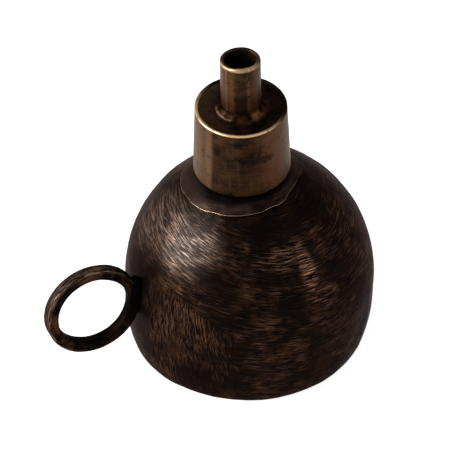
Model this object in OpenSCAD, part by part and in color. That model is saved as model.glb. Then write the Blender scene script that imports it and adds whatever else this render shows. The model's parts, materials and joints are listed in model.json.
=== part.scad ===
// Small finger lamp for oil: a raised copper reservoir with a finger ring, a filler neck,
// and a brass burner cap that lifts off the neck and carries the wick in a short tube.
// The base lies in the XY plane with its centre at the origin, +Z is up, the ring points to -X.
// Lengths are in millimetres and angles in degrees.

/* [Reservoir] */
// Radius of the body at its widest
body_r = 40; // [36:0.5:48]
// Radius of the body where it meets the base
foot_r = 38.6; // [34:0.2:39]
// Height of the widest part above the table
belly_z = 20; // [14:1:26]
// Height at which the crown would close
crown_z = 67.4; // [62:0.2:74]
// Roundness of the shoulder along the height
shoulder_power = 2.1; // [1.9:0.05:2.6]
// Roundness of the crown along the radius
crown_power = 1.53; // [1.4:0.01:1.9]
// Sheet thickness of the reservoir wall
wall_t = 1; // [0.8:0.1:1.6]
// Thickness of the base plate
base_t = 1.2; // [0.8:0.1:2]
// Width and height of the solder fillet along the base seam
base_fillet = 1.4; // [0.8:0.1:2]

/* [Neck] */
// Sideways place of the neck axis
neck_x = -2.6; // [-4:0.1:0]
// Front-to-back place of the neck axis
neck_y = 2; // [0:0.1:3]
// Height of the neck's own zero above the table
neck_z = 60; // [59:0.1:61]
// Lean of the neck towards the ring
neck_lean = 1; // [0:0.1:2]
// Outer radius of the filler neck
neck_r = 11.5; // [10.5:0.1:11.9]
// Wall of the filler neck
neck_wall = 1; // [0.8:0.1:1.5]
// Top of the filler neck above the neck's zero
neck_top = 17; // [14:0.5:20]

/* [Collar] */
// Radius of the dished collar disc
collar_r = 18.9; // [17:0.1:20]
// Thickness of the collar disc
collar_t = 1; // [0.7:0.1:1.2]
// How far the collar rises from its rim to its hole
collar_rise = 3.9; // [2.5:0.1:4]
// Height of the collar's rim above the neck's zero
collar_rim = 0.8; // [0.7:0.1:0.9]
// Tilt of the collar towards the ring
collar_tilt = 6; // [5:0.5:6]
// Tilt of the collar towards the back
collar_back = 3; // [2:0.5:3]

/* [Burner cap] */
// Outer radius of the cap at its lower edge
cap_low_r = 15.5; // [15:0.1:16.5]
// Outer radius of the cap at its top edge
cap_top_r = 14.5; // [14:0.1:15]
// Lower edge of the cap above the neck's zero
cap_low = 5.5; // [5.5:0.1:7]
// Top edge of the cap above the neck's zero
cap_top = 30.1; // [27:0.1:36]
// Wall of the cap
cap_wall = 1.1; // [0.8:0.1:1.3]
// Thickness of the plate that closes the cap
plate_t = 1.2; // [0.8:0.1:2]
// How far the plate sits below the cap's top edge
plate_recess = 0.5; // [0:0.1:1.5]
// Height of the bush inside the cap
bush_h = 8; // [5:0.5:9]
// Running gap between the bush and the neck
bush_gap = 0.06; // [0.03:0.01:0.09]

/* [Wick tube] */
// Outer radius of the wick tube
tube_r = 6.2; // [5.5:0.1:7]
// Radius of the wick tube's bore
tube_bore = 4.7; // [4.4:0.1:5]
// Top of the wick tube above the neck's zero
tube_top = 48.4; // [42:0.2:60]
// How far the wick tube reaches below the plate
tube_below = 3; // [2:0.5:6]
// Width of the solder fillet round the tube's foot
tube_fillet = 2.1; // [1:0.1:3]
// Radius of the cotton wick
wick_r = 4.3; // [3.6:0.1:4.3]
// How far the wick stands below the tube's mouth
wick_recess = 6; // [3:0.5:9]
// Gap between the wick's lower end and the table
wick_floor = 9; // [4:1:30]

/* [Finger ring] */
// Outer radius of the ring
ring_r = 15.8; // [15.4:0.1:17]
// Bar thickness of the ring, both ways
ring_bar = 3.8; // [2.6:0.1:4]
// Distance of the ring's centre from the body's axis
ring_reach = 54.8; // [54.4:0.1:55.4]
// Height of the ring's centre above the table
ring_z = 26.2; // [20:0.1:28]
// Angle of the ring round the body, from +X
ring_angle = 204.4; // [180:0.1:225]
// Backward lean of the ring's top
ring_lean = 6.3; // [0:0.1:12]
// Radius of the solder lump at the body's side
lump_r = 4.2; // [4:0.1:4.6]

/* [Hidden] */
$fn = 96;

copper_dark = "#3a2a22";
brass_aged = "#7d6238";
solder_grey = "#5b554d";
cotton = "#d8ccb0";

cut = 1;               // how far a cutter runs past the face that it opens
foot_power = 5;        // sharpness of the turn from the wall to the base
steps = 16;            // bands of each stretch of the reservoir's outline
base_edge = 1;         // how far the base plate's lower edge is rounded in
collar_power = 1.5;    // the collar falls faster towards its rim
collar_steps = 8;      // bands of the collar from its hole to its rim
collar_lap = 0.6;      // how much smaller the disc's blank hole is than the neck
collar_hole = neck_r - collar_lap;
neck_low = 1;          // lower end of the filler neck, just inside the crown
neck_fillet = 1;       // solder between the collar and the neck
seat_steps = 2;        // bands of the collar that this solder covers
bed_steps = 7;         // the solder bed stops one band inside the collar's rim
bed_depth = 8;         // the bed's blank reaches this far down before the crown cuts it
bush_rise = 2.5;       // how far the bush sits above the cap's lower edge
bush_low = cap_low + bush_rise;
plate_low = cap_top - plate_recess - plate_t;
plate_fillet = 1.4;    // solder under the plate, along the sleeve
tube_low = plate_low - tube_below;
spigot_step = 0.6;     // how much the tube is turned down where it passes the plate
spigot_r = tube_r - spigot_step;
shoulder = plate_low + plate_t + tube_fillet;
ring_edge = 0.5;       // chamfer on the ring's edges
lump_sink = 1.2;       // how far inside the body's side the solder lump is centred

// Radius of the cap's outside and inside at a height above the neck's zero
function cap_out(s) = cap_low_r + (cap_top_r - cap_low_r) * (s - cap_low) / (cap_top - cap_low);
function cap_in(s) = cap_out(s) - cap_wall;

// Outline of the body from its foot up to the crown, set in by t along the way
function foot_line(t) = [for (i = [0 : steps]) let (z = base_t + (belly_z - base_t) * i / steps)
    [body_r - t - (body_r - foot_r) * pow(1 - z / belly_z, foot_power), z]];
function crown_line(t) = [for (i = [1 : steps]) let (a = 90 * i / steps)
    [(body_r - t) * pow(cos(a), 2 / crown_power),
     belly_z + (crown_z - t - belly_z) * pow(sin(a), 2 / shoulder_power)]];
function body_line(t) = concat(foot_line(t), crown_line(t));

// Height of the collar's top face above its rim at a given radius
function dish(r) = collar_rise * (1 - pow((r - collar_hole) / (collar_r - collar_hole), collar_power));
function dish_line(drop, last) = [for (i = [0 : last])
    let (r = collar_hole + (collar_r - collar_hole) * i / collar_steps) [r, collar_rim + dish(r) - drop]];
function flip(line) = [for (i = [len(line) - 1 : -1 : 0]) line[i]];

// The body as one filled solid, from its wall's outside set in by t
module body_fill(t) {
    rotate_extrude()
        polygon(concat([[0, base_t]], body_line(t)));
}

// The neck's own frame: off centre and leaning a little towards the ring
module neck_frame() {
    translate([neck_x, neck_y, neck_z])
        rotate([0, -neck_lean, 0])
            children();
}

// The collar follows the slope of the crown, so it tilts more than the neck
module collar_frame() {
    translate([neck_x, neck_y, neck_z])
        rotate([-collar_back, -collar_tilt, 0])
            children();
}

// The ring's own frame: its axis is Z and it stands on edge beside the body
module ring_frame() {
    rotate([0, 0, ring_angle])
        translate([ring_reach, 0, ring_z])
            rotate([90 + ring_lean, 0, 0])
                children();
}

module tube_of(r_out, r_in, low, high) {
    translate([0, 0, low])
        difference() {
            cylinder(r = r_out, h = high - low);
            translate([0, 0, -cut])
                cylinder(r = r_in, h = high - low + 2 * cut);
        }
}

module reservoir_dome() {
    color(copper_dark)
        difference() {
            rotate_extrude()
                polygon(concat(body_line(0), flip(body_line(wall_t))));
            neck_frame()
                translate([0, 0, -base_fillet])
                    cylinder(r = neck_r, h = neck_top);
        }
}

module base_plate() {
    top_r = body_line(0)[0][0];
    color(copper_dark)
        rotate_extrude()
            polygon([[0, 0], [top_r - base_edge, 0], [top_r - base_edge / 4, base_t / 3],
                [top_r, base_t], [0, base_t]]);
}

module base_solder() {
    r = body_line(wall_t)[0][0];
    color(solder_grey)
        rotate_extrude()
            polygon([[r - base_fillet, base_t], [r, base_t], [r, base_t + base_fillet]]);
}

module neck_fill() {
    neck_frame()
        translate([0, 0, -bed_depth])
            cylinder(r = neck_r, h = neck_top + bed_depth);
}

module collar_disc() {
    color(copper_dark)
        difference() {
            collar_frame()
                rotate_extrude()
                    polygon(concat(dish_line(0, collar_steps), flip(dish_line(collar_t, collar_steps))));
            neck_fill();
            body_fill(0);
        }
}

module collar_solder() {
    color(solder_grey)
        difference() {
            collar_frame()
                rotate_extrude()
                    polygon(concat(dish_line(collar_t, bed_steps), flip(dish_line(bed_depth, bed_steps))));
            body_fill(0);
            neck_fill();
        }
}

module filler_neck() {
    color(copper_dark)
        neck_frame()
            tube_of(neck_r, neck_r - neck_wall, neck_low, neck_top);
}

module neck_solder() {
    seat = dish_line(0, seat_steps);
    color(solder_grey)
        difference() {
            collar_frame()
                rotate_extrude()
                    polygon(concat(seat, [seat[0] + [0, neck_fillet]]));
            neck_fill();
        }
}

module finger_ring() {
    in_r = ring_r - ring_bar;
    half = ring_bar / 2;
    color(copper_dark)
        difference() {
            ring_frame()
                rotate_extrude()
                    polygon([[in_r, -half + ring_edge], [in_r + ring_edge, -half],
                        [ring_r - ring_edge, -half], [ring_r, -half + ring_edge],
                        [ring_r, half - ring_edge], [ring_r - ring_edge, half],
                        [in_r + ring_edge, half], [in_r, half - ring_edge]]);
            body_fill(0);
        }
}

module ring_solder() {
    half = ring_bar / 2;
    color(solder_grey)
        difference() {
            rotate([0, 0, ring_angle])
                translate([body_r - lump_sink, 0, ring_z])
                    sphere(r = lump_r);
            body_fill(0);
            ring_frame()
                translate([0, 0, -half])
                    cylinder(r = ring_r, h = ring_bar);
        }
}

module cap_sleeve() {
    color(brass_aged)
        neck_frame()
            rotate_extrude()
                polygon([[cap_in(cap_low), cap_low], [cap_out(cap_low), cap_low],
                    [cap_out(cap_top), cap_top], [cap_in(cap_top), cap_top]]);
}

module cap_plate() {
    color(copper_dark)
        neck_frame()
            difference() {
                translate([0, 0, plate_low])
                    cylinder(r1 = cap_in(plate_low), r2 = cap_in(plate_low + plate_t), h = plate_t);
                translate([0, 0, plate_low - cut])
                    cylinder(r = spigot_r, h = plate_t + 2 * cut);
            }
}

module plate_solder() {
    r = cap_in(plate_low);
    low = plate_low - plate_fillet;
    color(solder_grey)
        neck_frame()
            rotate_extrude()
                polygon([[r - plate_fillet, plate_low], [cap_in(low), low], [r, plate_low]]);
}

module cap_bush() {
    high = bush_low + bush_h;
    color(brass_aged)
        neck_frame()
            difference() {
                translate([0, 0, bush_low])
                    cylinder(r1 = cap_in(bush_low), r2 = cap_in(high), h = bush_h);
                translate([0, 0, bush_low - cut])
                    cylinder(r = neck_r + bush_gap, h = bush_h + 2 * cut);
            }
}

module wick_tube() {
    color(brass_aged)
        neck_frame() {
            tube_of(spigot_r, tube_bore, tube_low, shoulder);
            tube_of(tube_r, tube_bore, shoulder, tube_top);
        }
}

module tube_solder() {
    foot = plate_low + plate_t;
    color(solder_grey)
        neck_frame()
            rotate_extrude()
                polygon([[spigot_r, foot], [tube_r + tube_fillet, foot],
                    [tube_r + tube_fillet / 2, foot + tube_fillet / 3],
                    [tube_r, shoulder], [spigot_r, shoulder]]);
}

module wick() {
    low = wick_floor - neck_z;
    high = tube_top - wick_recess;
    color(cotton)
        neck_frame()
            translate([0, 0, low])
                cylinder(r = wick_r, h = high - low);
}

reservoir_dome();
base_plate();
base_solder();
collar_disc();
collar_solder();
filler_neck();
neck_solder();
finger_ring();
ring_solder();
cap_sleeve();
cap_plate();
plate_solder();
cap_bush();
wick_tube();
tube_solder();
wick();
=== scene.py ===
"""A small finger lamp for oil: a hammered copper reservoir, a finger ring, and a brass burner cap.

Everything is in metres in the lamp's own frame: +Z is up, the base stands on z = 0 and the ring is at -X.
The sections follow the lamp as it is put together, from the base to the wick.
"""
import json
import math

import bpy
from mathutils import Matrix, Vector


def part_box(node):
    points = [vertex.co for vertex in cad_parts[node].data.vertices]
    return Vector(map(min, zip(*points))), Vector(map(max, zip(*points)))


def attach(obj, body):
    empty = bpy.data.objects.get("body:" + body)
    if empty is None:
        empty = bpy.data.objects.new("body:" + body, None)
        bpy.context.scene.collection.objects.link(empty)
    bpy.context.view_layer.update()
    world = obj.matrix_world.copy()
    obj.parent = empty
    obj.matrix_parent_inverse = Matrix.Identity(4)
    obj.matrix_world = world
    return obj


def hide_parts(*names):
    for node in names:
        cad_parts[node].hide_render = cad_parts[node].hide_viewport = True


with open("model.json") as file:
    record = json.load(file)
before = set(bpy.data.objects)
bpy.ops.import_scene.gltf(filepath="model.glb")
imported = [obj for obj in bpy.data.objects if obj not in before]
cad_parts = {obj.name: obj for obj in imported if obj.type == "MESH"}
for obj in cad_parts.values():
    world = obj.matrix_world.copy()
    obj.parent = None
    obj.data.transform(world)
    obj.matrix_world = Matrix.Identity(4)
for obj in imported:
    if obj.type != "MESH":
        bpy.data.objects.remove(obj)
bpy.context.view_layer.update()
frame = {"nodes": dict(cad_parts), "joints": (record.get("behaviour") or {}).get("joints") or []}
mm = 0.001

# ---------------------------------------------------------------------------------------------
# Camera: a long lens on the front of the lamp, looking down at it at a little under 45 degrees.
look_at = Vector((-7.82, 0, 40.8)) * mm
camera_down = math.radians(44.3)
camera_away = 0.9
camera_roll = math.radians(-0.23)

lens = bpy.data.cameras.new("camera")
lens.sensor_width = 36
lens.lens = 226.2
lens.clip_start = 0.05
lens.clip_end = 20
camera = bpy.data.objects.new("camera", lens)
bpy.context.scene.collection.objects.link(camera)
towards_camera = Vector((0, -math.cos(camera_down), math.sin(camera_down)))
camera.location = look_at + towards_camera * camera_away
camera.rotation_euler = (
    Matrix.Rotation(math.pi / 2 - camera_down, 4, "X") @ Matrix.Rotation(camera_roll, 4, "Z")
).to_euler()
bpy.context.scene.camera = camera
bpy.context.scene.view_settings.view_transform = "Standard"


# ---------------------------------------------------------------------------------------------
# Table and light: a glowing white table inside a white light tent, one soft box low on the
# left for the main highlight, and a weaker one on the right.
class Value:
    """One output socket of a material, so that shader maths is written as plain expressions."""

    def __init__(self, paint, socket):
        self.paint = paint
        self.socket = socket

    def out(self, name):
        return Value(self.paint, self.socket.node.outputs[name])

    def maths(self, operation, first, second=0.0):
        return self.paint.add("ShaderNodeMath", {"operation": operation}, {0: first, 1: second})

    def __add__(self, other):
        return self.maths("ADD", self, other)

    def __sub__(self, other):
        return self.maths("SUBTRACT", self, other)

    def __rsub__(self, other):
        return self.maths("SUBTRACT", other, self)

    def __mul__(self, other):
        return self.maths("MULTIPLY", self, other)

    def __truediv__(self, other):
        return self.maths("DIVIDE", self, other)

    def __pow__(self, other):
        return self.maths("POWER", self, other)

    __radd__ = __add__
    __rmul__ = __mul__

    def most(self, other):
        return self.maths("MAXIMUM", self, other)


class Paint:
    """A material, built node by node from values and sockets. Its lengths are in millimetres."""

    def __init__(self, name):
        self.material = bpy.data.materials.new(name)
        self.material.use_nodes = True
        self.tree = self.material.node_tree
        self.tree.nodes.clear()

    def add(self, kind, settings, inputs, output=0):
        node = self.tree.nodes.new(kind)
        for key, value in settings.items():
            setattr(node, key, value)
        for key, value in inputs.items():
            if isinstance(value, Value):
                self.tree.links.new(value.socket, node.inputs[key])
            else:
                node.inputs[key].default_value = value
        return Value(self, node.outputs[output])

    def place(self, rig=None):
        """X, Y and Z on the piece, in the lamp's frame or in the frame of the given matrix."""
        spot = self.add("ShaderNodeTexCoord", {}, {}).out("Object")
        if rig is not None:
            back = rig.inverted()
            settings = {"vector_type": "POINT"}
            inputs = {0: spot, 1: back.to_translation(), 2: back.to_euler()}
            spot = self.add("ShaderNodeMapping", settings, inputs)
        spot = self.add("ShaderNodeVectorMath", {"operation": "SCALE"}, {0: spot, "Scale": 1 / mm})
        parts = self.add("ShaderNodeSeparateXYZ", {}, {0: spot})
        return parts.out("X"), parts.out("Y"), parts.out("Z")

    def point(self, x, y, z):
        return self.add("ShaderNodeCombineXYZ", {}, {0: x, 1: y, 2: z})

    def turn(self, x, y):
        """Angle round Z from the front, positive towards +X."""
        return self.add("ShaderNodeMath", {"operation": "ARCTAN2"}, {0: x, 1: 0 - y})

    def noise(self, spot, size, detail, rough=0.5):
        inputs = {"Vector": spot, "Scale": 1 / size, "Detail": detail, "Roughness": rough}
        return self.add("ShaderNodeTexNoise", {}, inputs)

    def pits(self, spot, size):
        """Distance to the nearest of many scattered points."""
        return self.add("ShaderNodeTexVoronoi", {}, {"Vector": spot, "Scale": 1 / size})

    def ramp(self, value, low, high, bottom=0.0, top=1.0):
        """value eased from bottom, at low, to top, at high."""
        inputs = {0: value, 1: low, 2: high, 3: bottom, 4: top}
        return self.add("ShaderNodeMapRange", {"interpolation_type": "SMOOTHSTEP"}, inputs)

    def patch(self, across, up, middle, size):
        """1 at the middle, easing to 0 at the given half width and half height."""
        far = ((across - middle[0]) / size[0]) ** 2 + ((up - middle[1]) / size[1]) ** 2
        return self.ramp(far, 0, 1, 1, 0)

    def mix(self, share, first, second):
        """The first colour where share is 0, the second where it is 1."""
        colours = [value if isinstance(value, Value) else (*value, 1) for value in (first, second)]
        inputs = {0: share, 6: colours[0], 7: colours[1]}
        return self.add("ShaderNodeMix", {"data_type": "RGBA"}, inputs, output=2)

    def finish(self, settings, height=None, depth=0.0):
        """Joins the surface to the output, with a bump of the given depth."""
        inputs = dict(settings)
        if height is not None:
            bump = {"Height": height, "Distance": depth * mm, "Strength": 1.0}
            inputs["Normal"] = self.add("ShaderNodeBump", {}, bump)
        surface = self.add("ShaderNodeBsdfPrincipled", {}, inputs)
        end = self.tree.nodes.new("ShaderNodeOutputMaterial")
        self.tree.links.new(surface.socket, end.inputs[0])
        return self.material


table_surface = {
    "Base Color": (0.3, 0.3, 0.3, 1),
    "Roughness": 0.9,
    "Emission Color": (1, 1, 1, 1),
    "Emission Strength": 0.82,
}
table_paint = Paint("white_table").finish(table_surface)
bpy.ops.object.select_all(action="DESELECT")
bpy.ops.mesh.primitive_plane_add(size=8, location=(0, 0, 0))
table = bpy.context.object
table.name = "table"
table.data.materials.append(table_paint)

world = bpy.data.worlds.new("light_tent")
world.use_nodes = True
tent = world.node_tree.nodes["Background"]
tent.inputs["Color"].default_value = (1, 1, 1, 1)
tent.inputs["Strength"].default_value = 0.8
bpy.context.scene.world = world


lamp_middle = Vector((0, 0, 45)) * mm


def soft_light(name, direction, distance, width, height, watts):
    """A rectangular soft box that faces the middle of the lamp."""
    lamp = bpy.data.lights.new(name, "AREA")
    lamp.shape = "RECTANGLE"
    lamp.size = width
    lamp.size_y = height
    lamp.energy = watts
    box = bpy.data.objects.new(name, lamp)
    bpy.context.scene.collection.objects.link(box)
    aim = Vector(direction).normalized()
    box.location = lamp_middle + aim * distance
    box.rotation_euler = aim.to_track_quat("Z", "Y").to_euler()


soft_light("light_left", (-0.87, -0.24, 0.43), 0.7, 0.34, 0.3, 10)
soft_light("light_right", (0.80, -0.42, 0.38), 0.8, 0.14, 0.34, 1.5)


# ---------------------------------------------------------------------------------------------
# Reservoir: one sheet of copper raised with a hammer, brushed hard with a wire wheel in
# overlapping passes, and darkened to a near-black brown that has worn through to the copper.
def start_rim(name, radius, height, corners, middle=(0, 0)):
    """A ring of edges round Z, left in edit mode with all of it selected."""
    bpy.ops.object.select_all(action="DESELECT")
    bpy.ops.mesh.primitive_circle_add(vertices=corners, radius=radius, location=(*middle, height))
    piece = bpy.context.object
    piece.name = name
    bpy.ops.object.transform_apply(location=True, rotation=True, scale=True)
    bpy.ops.object.mode_set(mode="EDIT")
    bpy.ops.mesh.select_all(action="SELECT")
    return piece


def draw_out(outline, start=(0, 0), end=(0, 0)):
    """Extrudes the selected rim through each radius and height; its middle goes from start to end."""
    steps = len(outline) - 1
    step = [(b - a) / steps for a, b in zip(start, end)]
    for i, ((r0, z0), (r1, z1)) in enumerate(zip(outline, outline[1:])):
        middle = (start[0] + step[0] * (i + 1), start[1] + step[1] * (i + 1), z1)
        bpy.ops.mesh.extrude_edges_indiv()
        bpy.ops.transform.translate(value=(step[0], step[1], z1 - z0))
        bpy.ops.transform.resize(value=(r1 / r0, r1 / r0, 1), center_override=middle)


def close_up(piece, smooth_angle=35):
    """Merges doubles, turns the faces outwards, and leaves edit mode with smooth shading."""
    bpy.ops.mesh.select_all(action="SELECT")
    bpy.ops.mesh.remove_doubles(threshold=0.002 * mm)
    bpy.ops.mesh.normals_make_consistent(inside=False)
    bpy.ops.object.mode_set(mode="OBJECT")
    smooth(piece, smooth_angle)


def smooth(piece, angle):
    """Smooth shading, except over edges sharper than the angle."""
    bpy.ops.object.select_all(action="DESELECT")
    piece.select_set(True)
    bpy.context.view_layer.objects.active = piece
    bpy.ops.object.shade_smooth_by_angle(angle=math.radians(angle))


def use(piece, kind, **settings):
    """Adds one modifier with its settings and applies it."""
    bpy.ops.object.select_all(action="DESELECT")
    piece.select_set(True)
    bpy.context.view_layer.objects.active = piece
    step = piece.modifiers.new(kind.lower(), kind)
    for key, value in settings.items():
        setattr(step, key, value)
    bpy.ops.object.modifier_apply(modifier=step.name)


def dents(name, size):
    """A texture for the Displace modifier, with lumps of about the given size."""
    texture = bpy.data.textures.new(name, "CLOUDS")
    texture.noise_scale = size
    return texture


def pull(piece, place, by, reach):
    """Drags the mesh near a place, in edit mode, fading out at the given reach. All in millimetres."""
    bpy.ops.object.mode_set(mode="OBJECT")
    nearest = min(piece.data.vertices, key=lambda vertex: (vertex.co - Vector(place) * mm).length)
    for part in (*piece.data.vertices, *piece.data.edges, *piece.data.polygons):
        part.select = False
    nearest.select = True
    bpy.ops.object.mode_set(mode="EDIT")
    bpy.ops.mesh.select_mode(type="VERT")
    bpy.ops.transform.translate(
        value=Vector(by) * mm,
        use_proportional_edit=True,
        proportional_edit_falloff="SMOOTH",
        proportional_size=reach * mm,
    )
    bpy.ops.mesh.select_all(action="SELECT")


body_low, body_high = (Vector(c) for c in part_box("reservoir_dome"))
body_r = (body_high.x - body_low.x) / 2
foot_r = 38.6 * mm
belly_z = 20 * mm
crown_z = 67.4 * mm
foot_power = 5
shoulder_power = 2.1
crown_power = 1.53
foot_shift = -0.4 * mm
sheet = 1 * mm
neck_low, neck_high = (Vector(c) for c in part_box("filler_neck"))
neck_mid = (neck_low + neck_high) / 2
neck_hole = 11.4 * mm
collar_cover_r = 17 * mm


def foot_radius(z):
    """Radius of the body between the foot and the belly, at the given height."""
    return body_r - (body_r - foot_r) * (1 - z / belly_z) ** foot_power


def crown_spot(turn):
    """Radius and height of the body above the belly, by an angle that grows towards the top."""
    radius = body_r * math.cos(turn) ** (2 / crown_power)
    return radius, belly_z + (crown_z - belly_z) * math.sin(turn) ** (2 / shoulder_power)


foot_heights = (1.1, 1.8, 2.8, 4, 5.5, 7, 8.5, 10, 11.5, 13, 14.5, 16, 18, 20)
foot = [(foot_r - 0.3 * mm, 0.3 * mm), (foot_r + 0.1 * mm, 0.6 * mm)]
foot += [(foot_radius(z * mm), z * mm) for z in foot_heights]
crown_steps = 64
crown = [crown_spot(math.radians(90) * i / crown_steps) for i in range(1, crown_steps)]
crown_flat_z = crown[-10][1]
shown = [spot for spot in crown if spot[0] > collar_cover_r]
hidden = [spot for spot in crown if neck_hole < spot[0] <= collar_cover_r]
hidden.append((neck_hole, crown_flat_z))

reservoir = start_rim("hammered_reservoir", *foot[0], corners=256, middle=(foot_shift, 0))
draw_out(foot, start=(foot_shift, 0))
draw_out(foot[-1:] + shown)
draw_out(shown[-1:] + hidden, end=(neck_mid.x, neck_mid.y))
pull(reservoir, (33, 0, 48), (0.45, 0, 0.1), 34)
pull(reservoir, (40, 0, 14), (0.4, 0, 0), 20)
pull(reservoir, (-30, -24, 3), (-0.5, -0.4, 0), 26)
close_up(reservoir)
use(reservoir, "SOLIDIFY", thickness=sheet, offset=-1)
use(reservoir, "DISPLACE", texture=dents("hammer_blows", 9 * mm), strength=0.5 * mm, mid_level=0.5)
use(reservoir, "DISPLACE", texture=dents("long_swells", 30 * mm), strength=0.5 * mm, mid_level=0.5)


def wavy(paint, along, across, sway, seed):
    """The across coordinate, moved a little so that lines along the other one waver."""
    return across + paint.noise(paint.point(along, across, seed), 8, 1.5) * sway


# The mean radius of the side's bow, and the way across the body in which the strokes climb.
side_bow = 44
wheel_aim = (0.94, -0.34)

# Each pass of the wheel: how long and how wide a stroke is, its tilt, and a seed.
wheel_passes = ((6.0, 0.30, 0.22, 3.0), (4.5, 0.52, -0.12, 11.0))

# Each darker patch: its middle and its half size, in u and v, and how much it hides. The first
# two are painted shade beside and below the ring's joint with the body, and the third is painted
# shade in a dent below the left highlight; the rest darken the copper at those spots.
dark_patches = (
    ((-47, 12), (15, 21), 1.0),
    ((-64, -4), (14, 20), 0.7),
    ((-17, 30.5), (8, 6.5), 1.0),
    ((-6, 20), (11, 8), 0.6),
    ((11, 20), (5, 4), 0.8),
    ((19, 15), (4, 4), 0.7),
    ((2, 11), (6, 3), 0.7),
    ((-14, -12), (15, 8), 0.6),
    ((20, -12), (20, 9), 0.5),
    ((33, 0), (17, 16), 0.45),
    ((40, 26), (9, 22), 0.45),
)


def patinated_copper():
    """u runs round the body from the front and v up its side, both in millimetres or nearly so."""
    paint = Paint("patinated_copper")
    x, y, z = paint.place()
    radius = (x * x + y * y) ** 0.5
    u = paint.turn(x, y) * (body_r / mm)
    rise = paint.add("ShaderNodeMath", {"operation": "ARCTAN2"}, {0: z - belly_z / mm, 1: radius})
    v = rise * side_bow
    whole = paint.point(x, y, z)

    # The wheel went round the body nearly everywhere, and up and down beside the ring.
    upright = paint.ramp(v + u * 0.5, 10, 7) * paint.ramp(v, 22, 18)
    upright = upright * paint.ramp(u, -2, -9) * paint.ramp(u, -74, -60)
    along = x * wheel_aim[0] + y * wheel_aim[1]
    passes = []
    for length, width, tilt, seed in wheel_passes:
        level_v = wavy(paint, u, v, 0.9, seed) + along * tilt
        level = paint.noise(paint.point(x / length + seed, y / length, level_v / width), 1, 3, 0.6)
        stood_u = wavy(paint, v, u, 1.0, seed) + v * tilt
        stood = paint.noise(paint.point(stood_u / width, v / length, seed + 5), 1, 3, 0.6)
        passes.append(stood * upright + level * (1 - upright))
    fine = paint.ramp(passes[0], 0.51, 0.62)
    coarse = paint.ramp(passes[1], 0.52, 0.64)

    worn = paint.noise(paint.point(x + 31, y, z), 8, 3.5, 0.62)
    warm = paint.noise(paint.point(x, y + 57, z), 7, 3, 0.6)
    clouds = paint.noise(whole, 11, 3.5, 0.6)
    # Darker toward the collar and at the listed patches, some of them painted shade; it hides strokes.
    darkening = paint.ramp(v, 41, 47) * 0.7
    for middle, size, share in dark_patches:
        darkening = darkening.most(paint.patch(u, v, middle, size) * share)
    # Painted highlight: a grey sheen where the left soft box reflects. The glint is a painted highlight
    # where the right one reflects, and painted light lightens the upper left.
    painted_highlight = paint.patch(u, v, (-33, 39), (24, 16))
    glint = paint.patch(u, v, (24, 32), (4.5, 12)).most(paint.patch(u, v, (13, 37), (13, 5)) * 0.6)
    painted_light_left = paint.patch(u, v, (-55, 35), (19, 20))
    # The brightening is these painted highlights and painted light, with two lighter patches of strokes
    # low on the left and on the right.
    brightening = painted_highlight.most(glint).most(painted_light_left).most(paint.patch(u, v, (-27, 8), (20, 17)) * 0.65)
    brightening = brightening.most(paint.patch(u, v, (26, 14), (12, 12)) * 0.2)

    # Strokes show where the copper is worn and where a highlight is painted, and fade where darkened.
    wear_and_highlight = (paint.ramp(worn, 0.42, 0.66) * 0.45 + 0.06 + brightening * 0.55) * (1 - darkening * 0.85)
    bright = (fine * 0.9 + coarse * 0.45) * wear_and_highlight
    hole = paint.ramp(paint.pits(whole, 24), 0.02, 0.045, 1, 0)

    dark = paint.mix(clouds, (0.0004, 0.0003, 0.0003), (0.0046, 0.0025, 0.0020))
    glowing = paint.ramp(warm, 0.52, 0.70) * (1 - painted_highlight) * (1 - darkening)
    dark = paint.mix(glowing * 0.6, dark, (0.022, 0.0088, 0.0028))
    # The dark copper is lighter under the painted highlight and the painted light.
    dark = paint.mix(painted_highlight.most(painted_light_left * 0.6) * (1 - darkening) * 0.55, dark, (0.030, 0.021, 0.017))
    # The bared copper is greyer in the painted highlight, redder in the painted light on the upper left,
    # and bright in the painted glint.
    metal = paint.mix(painted_highlight, (0.120, 0.055, 0.029), (0.098, 0.073, 0.060))
    metal = paint.mix(painted_light_left, metal, (0.190, 0.115, 0.085))
    metal = paint.mix(glint, metal, (0.210, 0.105, 0.066))
    colour = paint.mix(bright * (1 - hole), dark, metal)
    height = passes[0] * 0.8 + passes[1] * 0.8 - hole * 2
    surface = {
        "Base Color": colour,
        "Metallic": 0.92,
        "Roughness": 0.50 - bright * 0.12 + clouds * 0.06,
        "Specular IOR Level": 0.2,
        "Specular Tint": (0.55, 0.5, 0.5, 1),
    }
    return paint.finish(surface, height, 0.12)


def dress(piece, *materials):
    """Puts the materials in the piece's slots, in order."""
    for i, material in enumerate(materials):
        if i < len(piece.data.materials):
            piece.data.materials[i] = material
        else:
            piece.data.materials.append(material)


copper = patinated_copper()
dress(reservoir, copper)
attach(reservoir, "lamp_body")
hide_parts("reservoir_dome")

# ---------------------------------------------------------------------------------------------
# Base: a flat disc of the same copper, soldered inside the foot and filed flush with it, with
# its lower edge taken off and a shallow hollow hammered in the middle so that it stands firm.
base_hollow_r = 30 * mm
base_hollow_z = 0.5 * mm
base = start_rim("base_disc", base_hollow_r, base_hollow_z, corners=128, middle=(foot_shift, 0))
bpy.ops.mesh.edge_face_add()
bpy.ops.mesh.select_mode(type="EDGE")
bpy.ops.mesh.region_to_loop()
base_outline = [(30, 0.5), (33, 0.12), (35, 0), (37, 0), (37.8, 0.15), (38.2, 0.6), (38.1, 1.2)]
draw_out([(r * mm, z * mm) for r, z in base_outline], start=(foot_shift, 0), end=(foot_shift, 0))
bpy.ops.mesh.edge_face_add()
close_up(base, 40)
dress(base, copper)
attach(base, "lamp_body")
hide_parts("base_plate")


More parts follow.
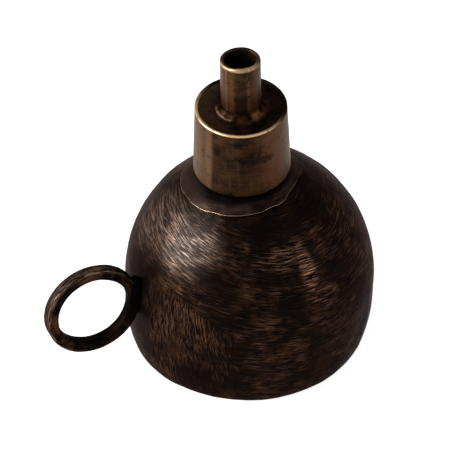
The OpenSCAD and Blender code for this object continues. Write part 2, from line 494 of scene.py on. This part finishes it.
# ---------------------------------------------------------------------------------------------
# Solder: soft solder that has dulled to a dark grey. It seals the base seam, beds the collar,
# fills the corner between neck and collar, and holds the cap's plate from below.
def dull_solder():
    paint = Paint("dull_solder")
    x, y, z = paint.place()
    spots = paint.noise(paint.point(x, y, z), 1.3, 3, 0.6)
    colour = paint.mix(spots, (0.012, 0.010, 0.009), (0.060, 0.050, 0.042))
    surface = {"Base Color": colour, "Metallic": 0.85, "Roughness": 0.62 - spots * 0.2}
    return paint.finish(surface, spots, 0.12)


solder = dull_solder()
for node in ("base_solder", "collar_solder", "neck_solder", "plate_solder"):
    dress(frame["nodes"][node], solder)

# ---------------------------------------------------------------------------------------------
# Filler neck: a short drawn copper tube that comes up through the crown and the collar. The
# cap slides on it, so it is rubbed cleaner than the body and scored round and lengthways.
lift = next(joint for joint in frame["joints"] if joint["name"] == "cap_lift")
neck_axis = Vector(lift["axis"]).normalized()
neck_half = 9 * mm
neck_r = 11.5 * mm
neck_foot = neck_mid - neck_axis * neck_half
neck_lean = Vector((0, 0, 1)).rotation_difference(neck_axis)
neck_rig = Matrix.Translation(neck_foot) @ neck_lean.to_matrix().to_4x4()


def rubbed_copper():
    paint = Paint("rubbed_copper")
    x, y, z = paint.place(neck_rig)
    across = paint.turn(x, y) * (neck_r / mm)
    rounds = paint.noise(paint.point(across / 12, z / 0.3, 1.0), 1, 2, 0.6)
    slides = paint.noise(paint.point(across / 0.35, z / 9, 4.0), 1, 2, 0.6)
    stain = paint.noise(paint.point(x, y, z), 5, 3, 0.6)
    clean = paint.ramp(stain, 0.4, 0.62) * paint.ramp(slides, 0.35, 0.6)
    colour = paint.mix(clean, (0.030, 0.015, 0.009), (0.26, 0.125, 0.070))
    surface = {"Base Color": colour, "Metallic": 0.95, "Roughness": 0.46 - clean * 0.14}
    return paint.finish(surface, rounds * 0.5 + slides, 0.05)


dress(frame["nodes"]["filler_neck"], rubbed_copper())

# ---------------------------------------------------------------------------------------------
# Collar: a dished disc snipped from copper sheet and left a little uneven at its rim. It is
# slipped over the neck and soldered down; its sharp top edge has been rubbed bright, with a
# painted highlight at the front left. Painted shadow darkens it under the cap, and painted light
# lightens its left side.
collar_back = math.radians(3)
collar_tilt = math.radians(6)
collar_hole = 11.35 * mm
collar_blank = 10.9 * mm
collar_r = 18.9 * mm
collar_rise = 3.9 * mm
collar_rim = 0.8 * mm
collar_power = 1.5
collar_rig = (
    Matrix.Translation(neck_foot)
    @ Matrix.Rotation(-collar_tilt, 4, "Y")
    @ Matrix.Rotation(-collar_back, 4, "X")
)


def dish(radius):
    """Height of the collar's upper face."""
    share = (radius - collar_blank) / (collar_r - collar_blank)
    return collar_rim + collar_rise * (1 - share**collar_power)


def seat(piece, rig):
    """Moves a piece that was made round the Z axis to its place, inside its mesh."""
    bpy.ops.object.select_all(action="DESELECT")
    piece.select_set(True)
    bpy.context.view_layer.objects.active = piece
    piece.matrix_world = rig
    bpy.ops.object.transform_apply(location=True, rotation=True, scale=True)


def round_edges(piece, width, segments):
    """Rounds the sharp edges and puts the rounding in the piece's second material slot."""
    sharp = {"limit_method": "ANGLE", "angle_limit": math.radians(50)}
    use(piece, "BEVEL", width=width, segments=segments, material=1, **sharp)


collar_blank_r = 19.3 * mm
collar_steps = 14
collar_line = []
for i in range(collar_steps + 1):
    radius = collar_hole + (collar_blank_r - collar_hole) * i / collar_steps
    collar_line.append((radius, dish(radius)))
collar = start_rim("snipped_collar", *collar_line[0], corners=192)
draw_out(collar_line)

# Each straight snip of the shears: its direction in degrees, and its distance in millimetres.
snips = (
    (-24, 18.1),
    (22, 18.4),
    (-62, 19.05),
    (-118, 19.1),
    (-155, 19.05),
    (160, 19.0),
    (100, 19.1),
    (60, 18.9),
)
for turn, distance in snips:
    outward = Vector((math.cos(math.radians(turn)), math.sin(math.radians(turn)), 0))
    bpy.ops.mesh.select_all(action="SELECT")
    bpy.ops.mesh.bisect(plane_co=outward * distance * mm, plane_no=outward, clear_outer=True)
close_up(collar)
use(collar, "SOLIDIFY", thickness=0.9 * mm, offset=-1)
use(collar, "DISPLACE", texture=dents("collar_dents", 6 * mm), strength=0.3 * mm, mid_level=0.5)
dress(collar, copper, copper)
round_edges(collar, 0.16 * mm, 2)
smooth(collar, 40)
seat(collar, collar_rig)


def collar_copper():
    paint = Paint("collar_copper")
    x, y, z = paint.place(collar_rig)
    radius = (x * x + y * y) ** 0.5
    whole = paint.point(x, y, z)
    sway = radius + paint.noise(whole, 6, 1.5) * 1.6
    lines = paint.noise(paint.point(x / 4, y / 4, sway / 0.24), 1, 2.5, 0.6)
    stain = paint.noise(whole, 5, 3, 0.6)
    front = paint.ramp(y, -12, -18) * paint.ramp(x, 4, -8)
    bright = paint.ramp(lines, 0.46, 0.70) * (paint.ramp(stain, 0.45, 0.66) * 0.3 + 0.08 + front * 0.28)
    # Painted shadow under the cap's lower edge: the strokes fade and the copper goes near-black.
    bright = bright * paint.ramp(radius, 15.6, 17.4)
    dark = paint.mix(paint.ramp(stain, 0.3, 0.65), (0.0018, 0.0012, 0.0011), (0.0130, 0.0070, 0.0055))
    dark = paint.mix(paint.ramp(radius, 15.6, 17.2, 0.85, 0), dark, (0.0006, 0.0005, 0.0005))
    # Painted light: lighter toward the left.
    dark = paint.mix(paint.ramp(x, -9, -15) * 0.4, dark, (0.030, 0.018, 0.014))
    colour = paint.mix(bright, dark, (0.085, 0.052, 0.040))
    surface = {
        "Base Color": colour,
        "Metallic": 0.92,
        "Roughness": 0.5 - bright * 0.1,
        "Specular IOR Level": 0.2,
        "Specular Tint": (0.7, 0.6, 0.55, 1),
    }
    return paint.finish(surface, lines, 0.1)


def worn_rim_with_highlight(name, rig, metal, tarnish, low):
    """An edge rubbed bare in broken patches and tarnished elsewhere, with a painted highlight at the front
    left.
    """
    paint = Paint(name)
    x, y, z = paint.place(rig)
    radius = (x * x + y * y) ** 0.5
    broken = paint.noise(paint.point(x, y, z), 1.9, 2.5, 0.6)
    # Painted highlight: the bare metal shows most toward the front left, where the light falls.
    toward_lit_front = (x * -0.55 + y * -0.83) / radius
    bare_and_lit = paint.ramp(broken, 0.22, 0.46) * paint.ramp(toward_lit_front, -0.35, 0.85)
    bare_and_lit = bare_and_lit * paint.ramp(z, low, low + 1.5)
    colour = paint.mix(bare_and_lit, tarnish, metal)
    surface = {
        "Base Color": colour,
        "Metallic": 0.95,
        "Roughness": 0.6 - bare_and_lit * 0.24,
        "Specular Tint": (0.45, 0.38, 0.32, 1),
    }
    return paint.finish(surface, broken, 0.06)


rim_copper = worn_rim_with_highlight("collar_edge", collar_rig, (0.30, 0.19, 0.14), (0.035, 0.020, 0.014), -9)
dress(collar, collar_copper(), rim_copper)
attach(collar, "lamp_body")
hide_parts("collar_disc")

# ---------------------------------------------------------------------------------------------
# Finger ring: a square copper bar bent round a mandrel, its ends meeting at the body, with its
# corners hammered off and its outer face rubbed grey. Painted shade darkens it toward the body
# and the bottom. It stands on edge beside the body.
ring_reach = 54.8 * mm
ring_z = 26.2 * mm
ring_angle = math.radians(204.4)
ring_lean = math.radians(6.3)
ring_r = 15.8 * mm
ring_bar = 3.8 * mm
ring_corner = 0.55 * mm
ring_rig = (
    Matrix.Rotation(ring_angle, 4, "Z")
    @ Matrix.Translation((ring_reach, 0, ring_z))
    @ Matrix.Rotation(math.pi / 2 + ring_lean, 4, "X")
)

bpy.ops.object.select_all(action="DESELECT")
bar_mid = (ring_r - ring_bar / 2, 0, 0)
bpy.ops.mesh.primitive_plane_add(size=ring_bar, location=bar_mid, rotation=(math.pi / 2, 0, 0))
ring = bpy.context.object
ring.name = "bent_ring"
bpy.ops.object.transform_apply(location=True, rotation=True, scale=True)
bpy.ops.object.mode_set(mode="EDIT")
bpy.ops.mesh.select_all(action="SELECT")
bpy.ops.mesh.bevel(offset=ring_corner, segments=3, affect="VERTICES")
bpy.ops.mesh.select_all(action="SELECT")
bpy.ops.mesh.delete(type="ONLY_FACE")
bpy.ops.mesh.select_all(action="SELECT")
bpy.ops.mesh.subdivide(number_cuts=1)
bpy.ops.mesh.select_all(action="SELECT")
bpy.ops.mesh.spin(steps=160, angle=math.tau, center=(0, 0, 0), axis=(0, 0, 1))
close_up(ring, 40)
use(ring, "DISPLACE", texture=dents("ring_dents", 8 * mm), strength=0.3 * mm, mid_level=0.5)
use(ring, "DISPLACE", texture=dents("ring_knocks", 2.5 * mm), strength=0.08 * mm, mid_level=0.5)
seat(ring, ring_rig)


def ring_copper():
    paint = Paint("ring_copper")
    x, y, z = paint.place(ring_rig)
    radius = (x * x + y * y) ** 0.5
    whole = paint.point(x, y, z)
    stain = paint.noise(whole, 8, 3, 0.55)
    grain = paint.noise(whole, 1.5, 2, 0.6)
    lines = paint.noise(paint.point(x / 3.5, y / 3.5, (radius + z * 0.7) / 0.26), 1, 2, 0.6)
    # Painted shade: darker toward the body and the bottom, lighter toward the top and away from the body.
    painted_lit_share = paint.ramp(x * 0.75 + y * 0.65, -12, 9, 0.25)
    outer = paint.ramp(radius, 14.7, 15.6)
    corner = paint.ramp(radius, 14.4, 15.3) * paint.ramp(z * z, 1.3, 2.6)
    brightening = paint.ramp(stain, 0.40, 0.62) * 0.4 + outer * 0.35 + corner * 0.5
    bright = paint.ramp(lines, 0.42, 0.66) * brightening * painted_lit_share * paint.ramp(radius, 12.1, 12.9)
    brown = paint.ramp(grain * 0.4 + stain * 0.6, 0.4, 0.6) * painted_lit_share
    dark = paint.mix(brown, (0.0014, 0.0009, 0.0008), (0.026, 0.0115, 0.0060))
    metal = paint.mix(outer, (0.165, 0.078, 0.042), (0.160, 0.112, 0.082))
    colour = paint.mix(bright, dark, metal)
    surface = {
        "Base Color": colour,
        "Metallic": 0.92,
        "Roughness": 0.5 - bright * 0.12,
        "Specular IOR Level": 0.2,
        "Specular Tint": (0.35, 0.35, 0.35, 1),
    }
    return paint.finish(surface, lines * 0.7 + stain, 0.12)


dress(ring, ring_copper())
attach(ring, "lamp_body")
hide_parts("finger_ring")

# ---------------------------------------------------------------------------------------------
# Ring solder: a lump of hard solder run round the ends of the ring, painted near-black. It is a
# squashed bead, drawn out up and down along the bar past the solder itself, so that it is also a
# painted shadow where the ring meets the body.
bead_stretch = (2.6, 3.3, 8.2)
bead_sink = 0.2 * mm
bpy.ops.object.select_all(action="DESELECT")
bpy.ops.mesh.primitive_uv_sphere_add(segments=48, ring_count=32, radius=1 * mm, location=(0, 0, 0))
bead = bpy.context.object
bead.name = "ring_solder_and_shadow_bead"
bpy.ops.object.mode_set(mode="EDIT")
bpy.ops.mesh.select_all(action="SELECT")
bpy.ops.transform.resize(value=bead_stretch)
bpy.ops.object.mode_set(mode="OBJECT")
use(bead, "DISPLACE", texture=dents("bead_runs", 3 * mm), strength=0.8 * mm, mid_level=0.5)
smooth(bead, 60)
bead_rig = Matrix.Rotation(ring_angle, 4, "Z") @ Matrix.Translation((body_r - bead_sink, 0, ring_z))
seat(bead, bead_rig)


def solder_dark_as_shadow():
    paint = Paint("solder_dark_as_shadow")
    x, y, z = paint.place()
    whole = paint.point(x, y, z)
    grain = paint.noise(whole, 0.8, 3, 0.65)
    # Near-black, as painted shadow as well as dark solder.
    colour = paint.mix(paint.ramp(grain, 0.4, 0.7), (0.0006, 0.0005, 0.0005), (0.0028, 0.0019, 0.0016))
    surface = {
        "Base Color": colour,
        "Metallic": 0.92,
        "Roughness": 0.66 - grain * 0.1,
        "Specular IOR Level": 0.15,
        "Specular Tint": (0.2, 0.2, 0.2, 1),
    }
    return paint.finish(surface, grain, 0.1)


dress(bead, solder_dark_as_shadow())
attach(bead, "lamp_body")
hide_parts("ring_solder")

# ---------------------------------------------------------------------------------------------
# Cap sleeve: brass sheet rolled into a tapering tube, beaten over a stake so that soft flats
# run up it, then turned on a lathe. The top rim stands above the plate and is rubbed bright,
# with a painted highlight at its front left; painted highlights also run down its left and right sides.
cap_low = 5.5 * mm
cap_top = 30.1 * mm
cap_low_r = 15.5 * mm
cap_top_r = 14.5 * mm
cap_wall = 1.1 * mm
cap_flats = 18
cap_steps = 16
flat_blend = 1.9 * mm
edge_rise = 0.5 * mm
sleeve_shift = 0.3 * mm


def cap_radius(height):
    """Outer radius of the tapering sleeve at the given height."""
    return cap_low_r + (cap_top_r - cap_low_r) * (height - cap_low) / (cap_top - cap_low)


heights = [cap_low + (cap_top - cap_low) * i / cap_steps for i in range(cap_steps + 1)]
sleeve = start_rim("rolled_sleeve", cap_radius(cap_low), cap_low, corners=cap_flats)
draw_out([(cap_radius(height), height) for height in heights])

# Only the upright edges, between the flats, are blended.
bpy.ops.mesh.select_all(action="DESELECT")
bpy.ops.object.mode_set(mode="OBJECT")
corners = [vertex.co for vertex in sleeve.data.vertices]
for edge in sleeve.data.edges:
    low, high = (corners[i] for i in edge.vertices)
    edge.select = abs(low.z - high.z) > edge_rise
bpy.ops.object.mode_set(mode="EDIT")
bpy.ops.mesh.select_mode(type="EDGE")
bpy.ops.mesh.bevel(offset=flat_blend, segments=5, affect="EDGES")
close_up(sleeve, 30)
use(sleeve, "SOLIDIFY", thickness=cap_wall, offset=-1)
use(sleeve, "DISPLACE", texture=dents("sleeve_dents", 7 * mm), strength=0.22 * mm, mid_level=0.5)
dress(sleeve, copper, copper)
round_edges(sleeve, 0.58 * mm, 3)
smooth(sleeve, 40)
sleeve_rig = Matrix.Translation((sleeve_shift, 0, 0)) @ neck_rig
seat(sleeve, sleeve_rig)


def aged_brass(name, mean_r, hollow_r, smudges=(), seam=None, lip=None):
    """Turned brass gone brown, with lines, stains and pits, soot inside the hollow, and painted
    highlights.

    Its patches are placed by the turn from the front, in radians, and the height, in millimetres.
    """
    paint = Paint(name)
    x, y, z = paint.place(neck_rig)
    turn = paint.turn(x, y)
    whole = paint.point(x, y, z)
    across = turn * mean_r
    lines = paint.noise(paint.point(x / 9, y / 9, z / 0.22), 1, 2.5, 0.6)
    streaks = paint.noise(paint.point(across / 1.6, z / 14, 2.0), 1, 2, 0.6)
    blotch = paint.noise(whole, 4.5, 3.5, 0.6)
    stain = paint.noise(paint.point(x + 40, y, z), 2.6, 3, 0.65)
    golden = paint.noise(paint.point(x, y + 23, z), 7, 2.5, 0.55)
    red = paint.noise(paint.point(x, y, z + 61), 5, 2.5, 0.55)
    # Painted highlight: a bright band down the left side, where the left lamp reflects.
    painted_highlight_band = paint.patch(turn, z, (-0.74, 26), (0.13, 60)) * 0.8
    painted_highlight_band = painted_highlight_band.most(paint.patch(turn, z, (-1.0, 24), (0.45, 40)) * 0.4)
    # Lighter and redder on the right: painted light from the right lamp, and a redder tone.
    painted_light_right = paint.patch(turn, z, (0.78, 20), (0.42, 40))
    brown = paint.mix(paint.ramp(blotch, 0.36, 0.64), (0.0030, 0.0013, 0.0008), (0.0200, 0.0082, 0.0031))
    tone = paint.mix(paint.ramp(golden, 0.44, 0.66) * 0.55, brown, (0.046, 0.0215, 0.0070))
    tone = paint.mix(paint.ramp(red, 0.46, 0.64) * 0.6, tone, (0.030, 0.0100, 0.0044))
    tone = paint.mix(paint.ramp(streaks, 0.50, 0.72) * 0.3, tone, (0.070, 0.040, 0.018))
    tone = paint.mix(paint.ramp(lines, 0.48, 0.70) * 0.35, tone, (0.080, 0.041, 0.016))
    tone = paint.mix(painted_light_right * 0.5, tone, (0.095, 0.036, 0.014))
    tone = paint.mix(painted_highlight_band * 0.7, tone, (0.150, 0.078, 0.036))
    dirt = paint.ramp(stain, 0.54, 0.72) * 0.6
    for middle, size in smudges:
        dirt = dirt.most(paint.patch(turn, z, middle, size) * paint.ramp(stain, 0.36, 0.62) * 0.85)
    if seam is not None:
        joint = paint.ramp((turn - seam) * (turn - seam), 0, 0.012, 1, 0)
        tone = paint.mix(joint * 0.5, tone, (0.100, 0.058, 0.024))
        # Painted highlight: a pale streak high on the tube, left of the front.
        painted_highlight_streak = paint.patch(turn, z, (-0.42, 38), (0.26, 18))
        tone = paint.mix(painted_highlight_streak * 0.4, tone, (0.130, 0.062, 0.022))
        dirt = dirt.most(joint * paint.ramp(stain, 0.48, 0.6) * 0.8)
    tone = paint.mix(dirt, tone, (0.0030, 0.0020, 0.0015))
    holes = paint.ramp(paint.pits(whole, 4.6), 0.04, 0.09, 1, 0)
    tone = paint.mix(holes * 0.9, tone, (0.004, 0.003, 0.002))
    radius = (x * x + y * y) ** 0.5
    if lip is not None:
        # The lip is rubbed bright in broken patches, with a painted highlight brightest toward the front
        # left.
        toward_lit_front = paint.ramp((x * -0.35 + y * -0.94) / radius, -0.3, 0.8)
        mouth = z + y * 0.1
        brightening = paint.ramp(mouth, lip - 0.65, lip - 0.3) * paint.ramp(blotch, 0.3, 0.5)
        brightening = brightening * (toward_lit_front * 0.85 + 0.05) * paint.ramp(radius, 5.2, 5.7)
        tone = paint.mix(brightening, tone, (0.34, 0.21, 0.115))
    inside = paint.ramp(radius, hollow_r, hollow_r + 0.15, 1, 0)
    edge = paint.ramp(radius, hollow_r - 0.6, hollow_r - 0.1)
    darkening = paint.mix(edge, (0.0012, 0.0011, 0.0011), (0.0200, 0.0165, 0.0150))
    tone = paint.mix(inside, tone, darkening)
    surface = {
        "Base Color": tone,
        "Metallic": 0.95,
        "Roughness": 0.40 + dirt * 0.2 + blotch * 0.1,
        "Specular IOR Level": 0.3,
        "Specular Tint": (1.0, 0.88, 0.80, 1),
    }
    return paint.finish(surface, lines * 0.4 + streaks * 0.3 + blotch * 0.6 - holes * 1.5, 0.09)


rim_brass = worn_rim_with_highlight("rubbed_brass_with_highlight", neck_rig, (0.55, 0.37, 0.20), (0.0080, 0.0040, 0.0018), 20)

# Each smudge on the sleeve: its middle and its half size, as turn and height.
sleeve_smudges = (
    ((-0.05, 19.5), (0.36, 3.4)),
    ((0.50, 19.2), (0.40, 2.0)),
    ((0.02, 27.0), (0.50, 2.4)),
    ((-0.45, 22.5), (0.18, 3.0)),
    ((0.20, 23.0), (0.14, 5.0)),
)
sleeve_mean_r = 14.6
sleeve_hollow_r = 13.9
dress(sleeve, aged_brass("sleeve_brass", sleeve_mean_r, sleeve_hollow_r, sleeve_smudges), rim_brass)
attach(sleeve, "burner_cap")
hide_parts("cap_sleeve")


# ---------------------------------------------------------------------------------------------
# Cap bush: a brass bush soldered inside the sleeve. Its bore is the sliding fit on the neck,
# so the bore is bright and the ends are dull.
def bush_brass():
    paint = Paint("bush_brass")
    x, y, z = paint.place(neck_rig)
    rounds = paint.noise(paint.point(x / 8, y / 8, z / 0.25), 1, 2, 0.6)
    slides = paint.noise(paint.point(paint.turn(x, y) * 34, z / 6, 7.0), 1, 2, 0.6)
    bore = paint.ramp(x * x + y * y, 11.8**2, 12.3**2, 1, 0)
    bright = bore * paint.ramp(slides, 0.3, 0.6)
    colour = paint.mix(bright, (0.055, 0.030, 0.013), (0.42, 0.26, 0.11))
    surface = {"Base Color": colour, "Metallic": 0.95, "Roughness": 0.5 - bright * 0.18}
    return paint.finish(surface, rounds + slides, 0.05)


dress(frame["nodes"]["cap_bush"], bush_brass())

# ---------------------------------------------------------------------------------------------
# Cap plate: a disc of brass let into the top of the sleeve and soldered from below. It sags a
# little between its edge and the tube, and is dark brown with scattered casting pits.
plate_low = 28.4 * mm
plate_top = 29.6 * mm
tube_r = 6.2 * mm
plate_sag = 0.25 * mm
plate_steps = 12
plate_bite = 0.1 * mm
plate_r = cap_radius(plate_top) - cap_wall + plate_bite
plate_hole = 5.7 * mm
plate = start_rim("soldered_plate", plate_hole, plate_low, corners=128)
plate_line = [(plate_hole, plate_low), (plate_r, plate_low), (plate_r, plate_top)]
for i in range(1, plate_steps + 1):
    share = i / plate_steps
    radius = plate_r + (plate_hole - plate_r) * share
    plate_line.append((radius, plate_top - plate_sag * math.sin(math.pi * share)))
plate_line.append((plate_hole, plate_low))
draw_out(plate_line)
close_up(plate)
use(plate, "DISPLACE", texture=dents("plate_dents", 5 * mm), strength=0.12 * mm, mid_level=0.5)
seat(plate, neck_rig)


def plate_brown():
    paint = Paint("plate_brown")
    x, y, z = paint.place(neck_rig)
    whole = paint.point(x, y, z)
    stain = paint.noise(whole, 4, 3, 0.6)
    blush = paint.noise(paint.point(x + 12, y, z), 6, 2, 0.5)
    radius = (x * x + y * y) ** 0.5
    rounds = paint.noise(paint.point(x / 6, y / 6, radius / 0.4), 1, 2, 0.6)
    # Painted light: lighter toward the left, and warmer near the rim on that side.
    plate_painted_light_left = paint.ramp(x, -2, -10)
    colour = paint.mix(paint.ramp(stain, 0.35, 0.65), (0.0024, 0.0012, 0.0007), (0.021, 0.0098, 0.0044))
    colour = paint.mix(paint.ramp(blush, 0.46, 0.66) * 0.5, colour, (0.028, 0.0155, 0.0105))
    colour = paint.mix(plate_painted_light_left * 0.35, colour, (0.044, 0.028, 0.019))
    colour = paint.mix(paint.ramp(radius, 11.6, 13.2) * plate_painted_light_left * 0.6, colour, (0.060, 0.034, 0.014))
    # Painted shadow of the tube: darker toward the right.
    colour = paint.mix(paint.ramp(x, 4, 10) * 0.6, colour, (0.0030, 0.0020, 0.0018))
    holes = paint.ramp(paint.pits(whole, 2.1), 0.10, 0.22, 1, 0) * plate_painted_light_left
    colour = paint.mix(holes * 0.85, colour, (0.003, 0.002, 0.002))
    surface = {
        "Base Color": colour,
        "Metallic": 0.92,
        "Roughness": 0.46 + stain * 0.1,
        "Specular IOR Level": 0.2,
        "Specular Tint": (0.42, 0.34, 0.27, 1),
    }
    return paint.finish(surface, stain + rounds * 0.4 - holes * 1.6, 0.16)


dress(plate, plate_brown())
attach(plate, "burner_cap")
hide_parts("cap_plate")

# ---------------------------------------------------------------------------------------------
# Wick tube: brass sheet rolled round a rod with a soldered seam at the front right. Years of
# trimming the wick have rubbed its mouth bright, rounded it and left it a little uneven, and a
# painted highlight makes the mouth brightest at the front left.
tube_low = 25.4 * mm
tube_top = 48.4 * mm
tube_bore = 4.7 * mm
tube_seam = math.radians(26)
mouth_r = 4.95 * mm
lip = (tube_r - mouth_r) / 2
lip_steps = 11
tube_steps = 20
tube_shift = 0.4 * mm
tube_line = [(tube_bore, tube_low), (tube_r, tube_low)]
for i in range(1, tube_steps + 1):
    tube_line.append((tube_r, tube_low + (tube_top - lip - tube_low) * i / tube_steps))
for i in range(1, lip_steps + 1):
    turn = math.pi * i / lip_steps
    tube_line.append((tube_r - lip + lip * math.cos(turn), tube_top - lip + lip * math.sin(turn)))
tube_line.append((tube_bore + 0.1 * mm, tube_top - 3 * mm))
tube_line += [(tube_bore, tube_top - 6 * mm), (tube_bore, tube_low)]
tube = start_rim("seamed_tube", *tube_line[0], corners=96)
draw_out(tube_line)
pull(tube, (0, -6.2, 48.4), (0, 0, 1.3), 16)
pull(tube, (-4.6, -4.1, 49), (0, 0.15, -0.35), 5)
close_up(tube)
use(tube, "DISPLACE", texture=dents("tube_dents", 5 * mm), strength=0.26 * mm, mid_level=0.5)
tube_rig = Matrix.Translation((tube_shift, 0, 0)) @ neck_rig
seat(tube, tube_rig)
dress(tube, aged_brass("tube_brass", tube_r / mm, mouth_r / mm, seam=tube_seam, lip=tube_top / mm))
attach(tube, "burner_cap")
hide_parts("wick_tube")

# ---------------------------------------------------------------------------------------------
# Tube solder: a hollow fillet of solder run round the foot of the tube and wiped smooth, so
# that the plate seems to flare up into the tube. It has browned with the brass, and a painted
# highlight runs round it at the left front.
fillet_w = 2.7 * mm
fillet_in = tube_r - 0.2 * mm
fillet_low = plate_top - 0.6 * mm
fillet_foot = plate_top - 0.1 * mm
fillet_steps = 12
fillet_line = [(fillet_in, fillet_low), (tube_r + fillet_w, fillet_low)]
for i in range(fillet_steps + 1):
    turn = math.radians(90) * i / fillet_steps
    radius = tube_r + fillet_w * (1 - math.sin(turn))
    fillet_line.append((radius, fillet_foot + fillet_w * (1 - math.cos(turn))))
fillet_line.append((fillet_in, plate_top + fillet_w))
fillet_line.append(fillet_line[0])
fillet = start_rim("tube_fillet", *fillet_line[0], corners=96)
draw_out(fillet_line)
close_up(fillet, 50)
use(fillet, "DISPLACE", texture=dents("fillet_runs", 6 * mm), strength=0.14 * mm, mid_level=0.5)
seat(fillet, tube_rig)


def browned_solder():
    paint = Paint("browned_solder")
    x, y, z = paint.place(neck_rig)
    whole = paint.point(x, y, z)
    stain = paint.noise(whole, 2.2, 3, 0.6)
    painted_light_left = paint.ramp(x, -1, -5) * paint.ramp(y, 2, -3)
    radius = (x * x + y * y) ** 0.5
    # Painted highlight: a pale crescent round the fillet at the left front.
    painted_highlight_crescent = paint.ramp(radius, 6.9, 7.2) * paint.ramp(radius, 7.4, 7.8, 1, 0)
    painted_highlight_crescent = painted_highlight_crescent * paint.ramp(stain, 0.32, 0.52) * painted_light_left
    golden = paint.ramp(x, 2, 5) * paint.ramp(y, -2, -5) * paint.ramp(stain, 0.4, 0.6)
    golden = golden * paint.ramp(radius, 7.6, 8.6, 1, 0)
    colour = paint.mix(paint.ramp(stain, 0.35, 0.65), (0.0030, 0.0015, 0.0009), (0.024, 0.0105, 0.0045))
    colour = paint.mix(golden * 0.6, colour, (0.095, 0.052, 0.020))
    colour = paint.mix(painted_highlight_crescent * 0.7, colour, (0.20, 0.135, 0.09))
    surface = {
        "Base Color": colour,
        "Metallic": 0.92,
        "Roughness": 0.44 + stain * 0.1,
        "Specular IOR Level": 0.2,
        "Specular Tint": (0.40, 0.34, 0.29, 1),
    }
    return paint.finish(surface, stain, 0.15)


dress(fillet, browned_solder())
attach(fillet, "burner_cap")
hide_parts("tube_solder")

# ---------------------------------------------------------------------------------------------
# Wick: three plies of cotton cord twisted together and yellowed with oil. It is pushed into
# the tube from below, and the end in the mouth is charred black.
wick_low_z, wick_high_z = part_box("wick")[0][2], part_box("wick")[1][2]
wick_low = wick_low_z - neck_foot.z
wick_high = wick_high_z - neck_foot.z
wick_twist = 15 * mm
ply_r = 1.96 * mm
ply_reach = 2.26 * mm
ply_corners = 14
wick_steps = 150
wick_trim = 0.3 * mm
wick_length = wick_high - wick_low - wick_trim

bpy.ops.object.select_all(action="DESELECT")
bpy.ops.mesh.primitive_circle_add(vertices=ply_corners, radius=ply_r, location=(ply_reach, 0, wick_low))
wick = bpy.context.object
wick.name = "twisted_wick"
bpy.ops.object.transform_apply(location=True, rotation=True, scale=True)
bpy.ops.object.mode_set(mode="EDIT")
for turn in (math.radians(120), math.radians(240)):
    bpy.ops.mesh.select_all(action="DESELECT")
    spot = (ply_reach * math.cos(turn), ply_reach * math.sin(turn), wick_low)
    bpy.ops.mesh.primitive_circle_add(vertices=ply_corners, radius=ply_r, location=spot)
bpy.ops.object.mode_set(mode="OBJECT")
use(
    wick,
    "SCREW",
    angle=math.tau * wick_length / wick_twist,
    screw_offset=wick_length,
    steps=wick_steps,
    render_steps=wick_steps,
    use_smooth_shade=True,
)
bpy.ops.object.mode_set(mode="EDIT")
bpy.ops.mesh.select_all(action="DESELECT")
bpy.ops.mesh.select_mode(type="EDGE")
bpy.ops.mesh.select_non_manifold()
bpy.ops.mesh.fill_holes(sides=0)
close_up(wick, 50)
use(wick, "DISPLACE", texture=dents("cotton_lumps", 1.6 * mm), strength=0.3 * mm, mid_level=0.5)
seat(wick, neck_rig)


def oily_cotton():
    paint = Paint("oily_cotton")
    x, y, z = paint.place(neck_rig)
    turn = paint.turn(x, y)
    whole = paint.point(x, y, z)
    wound = turn * (wick_twist / mm / math.tau) + z
    yarn = paint.noise(paint.point(wound / 0.35, (x * x + y * y) ** 0.5 / 1.5, z / 6), 1, 2.5, 0.6)
    stain = paint.noise(whole, 6, 2.5, 0.55)
    top = wick_high / mm
    char = paint.ramp(z + stain * 3, top - 3.5, top + 0.5)
    colour = paint.mix(stain, (0.34, 0.25, 0.14), (0.60, 0.50, 0.34))
    colour = paint.mix(paint.ramp(yarn, 0.5, 0.7) * 0.35, colour, (0.18, 0.12, 0.06))
    colour = paint.mix(char, colour, (0.0025, 0.0022, 0.0020))
    surface = {"Base Color": colour, "Roughness": 0.85 - char * 0.1, "Specular IOR Level": 0.2}
    return paint.finish(surface, yarn, 0.25)


dress(wick, oily_cotton())
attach(wick, "wick")
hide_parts("wick")
